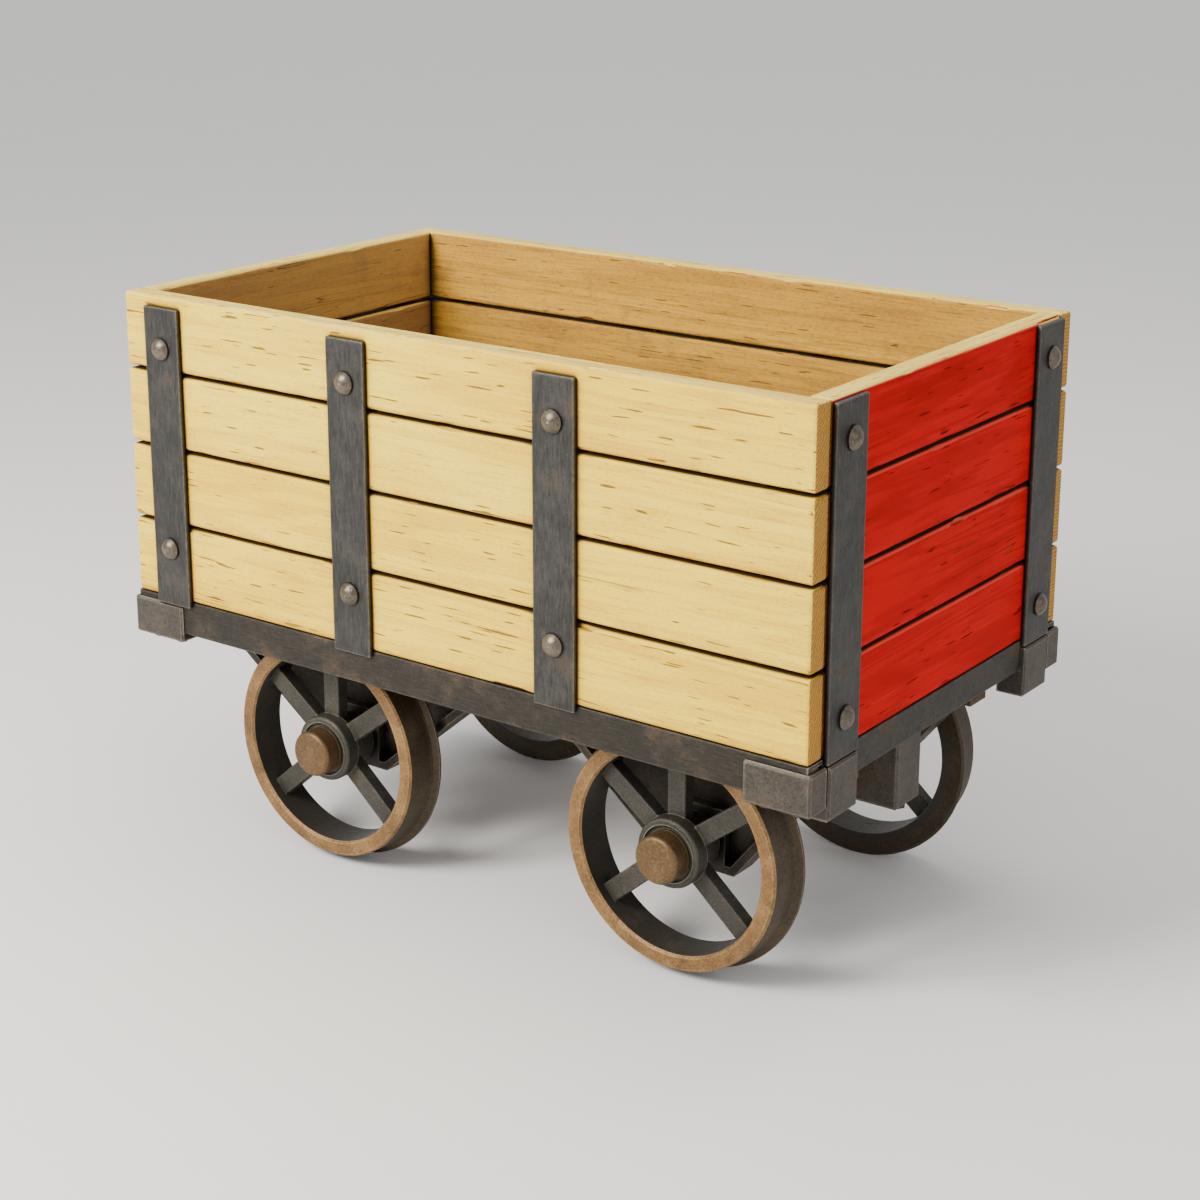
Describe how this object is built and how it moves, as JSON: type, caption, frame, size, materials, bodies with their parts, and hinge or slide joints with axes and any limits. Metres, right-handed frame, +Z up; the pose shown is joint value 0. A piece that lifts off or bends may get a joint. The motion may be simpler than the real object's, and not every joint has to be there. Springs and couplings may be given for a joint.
{
  "type": "mine cart",
  "caption": "Open wooden ore box with iron straps on a dark iron frame, carried on flanged spoked wheels that turn on fixed axles.",
  "frame": {"origin": "on the ground under the middle of the body, level with the lowest points of the wheel flanges", "axes": "+X along the cart to its front end, +Y to its far side, +Z up"},
  "size_m": [1.59, 0.95, 1.108],
  "materials": {
    "side_boards": "bare sawn boards, pale cream yellow",
    "end_boards": "sawn boards painted red outside, bare inside",
    "floor_planks": "worn bare planks",
    "dowels": "turned hardwood",
    "screw_heads": "forged, rubbed bright on the crown",
    "strap_iron": "dark slate grey, scaled",
    "frame_iron": "dark slate grey with rust on the edges",
    "block_iron": "dark slate grey with rust on the edges",
    "frame_timber": "dark tarred oak",
    "bracket_iron": "rough cast",
    "bush_bronze": "bored bronze",
    "cap_bronze": "dull brown bronze",
    "wheel_iron": "rough cast, rusty brown rim and grey spokes",
    "fastener_steel": "dark forged steel"
  },
  "bodies": {
    "cart_body": {"axle_bracket_front_far": "bracket_iron", "axle_bracket_front_near": "bracket_iron", "axle_bracket_rear_far": "bracket_iron", "axle_bracket_rear_near": "bracket_iron", "axle_front": "fastener_steel", "axle_nuts": "fastener_steel", "axle_rear": "fastener_steel", "axle_washers": "fastener_steel", "bracket_screws": "fastener_steel", "corner_dowels": "dowels", "corner_shoe_front_far": "block_iron", "corner_shoe_front_near": "block_iron", "corner_shoe_rear_far": "block_iron", "corner_shoe_rear_near": "block_iron", "coupling_block_front": "block_iron", "coupling_block_rear": "block_iron", "cross_bearer_front": "frame_timber", "cross_bearer_middle": "frame_timber", "cross_bearer_rear": "frame_timber", "edge_dowels": "dowels", "end_boards_front": "end_boards", "end_boards_rear": "end_boards", "end_rail_front": "frame_iron", "end_rail_rear": "frame_iron", "end_strap_front_far": "strap_iron", "end_strap_front_near": "strap_iron", "end_strap_rear_far": "strap_iron", "end_strap_rear_near": "strap_iron", "end_strap_screws": "screw_heads", "floor_nails": "fastener_steel", "floor_planks": "floor_planks", "frame_screws": "fastener_steel", "shoe_bolts": "frame_iron", "side_boards_far": "side_boards", "side_boards_near": "side_boards", "side_rail_far": "frame_iron", "side_rail_near": "frame_iron", "side_strap_far_1": "strap_iron", "side_strap_far_2": "strap_iron", "side_strap_far_3": "strap_iron", "side_strap_near_1": "strap_iron", "side_strap_near_2": "strap_iron", "side_strap_near_3": "strap_iron", "side_strap_screws": "screw_heads", "sill_far": "frame_timber", "sill_near": "frame_timber", "split_pins": "fastener_steel"},
    "wheel_set_front_near": {"wheel_front_near": "wheel_iron", "wheel_bush_front_near": "bush_bronze", "hub_cap_front_near": "cap_bronze"},
    "wheel_set_front_far": {"wheel_front_far": "wheel_iron", "wheel_bush_front_far": "bush_bronze", "hub_cap_front_far": "cap_bronze"},
    "wheel_set_rear_near": {"wheel_rear_near": "wheel_iron", "wheel_bush_rear_near": "bush_bronze", "hub_cap_rear_near": "cap_bronze"},
    "wheel_set_rear_far": {"wheel_rear_far": "wheel_iron", "wheel_bush_rear_far": "bush_bronze", "hub_cap_rear_far": "cap_bronze"}
  },
  "joints": [
    {"name": "wheel_spin_front_near", "type": "hinge", "parent": "cart_body", "child": "wheel_set_front_near", "pos_m": [0.44, -0.332, 0.236], "axis": [0, 1, 0], "continuous": true},
    {"name": "wheel_spin_front_far", "type": "hinge", "parent": "cart_body", "child": "wheel_set_front_far", "pos_m": [0.44, 0.332, 0.236], "axis": [0, 1, 0], "continuous": true},
    {"name": "wheel_spin_rear_near", "type": "hinge", "parent": "cart_body", "child": "wheel_set_rear_near", "pos_m": [-0.37, -0.332, 0.236], "axis": [0, 1, 0], "continuous": true},
    {"name": "wheel_spin_rear_far", "type": "hinge", "parent": "cart_body", "child": "wheel_set_rear_far", "pos_m": [-0.37, 0.332, 0.236], "axis": [0, 1, 0], "continuous": true}
  ]
}
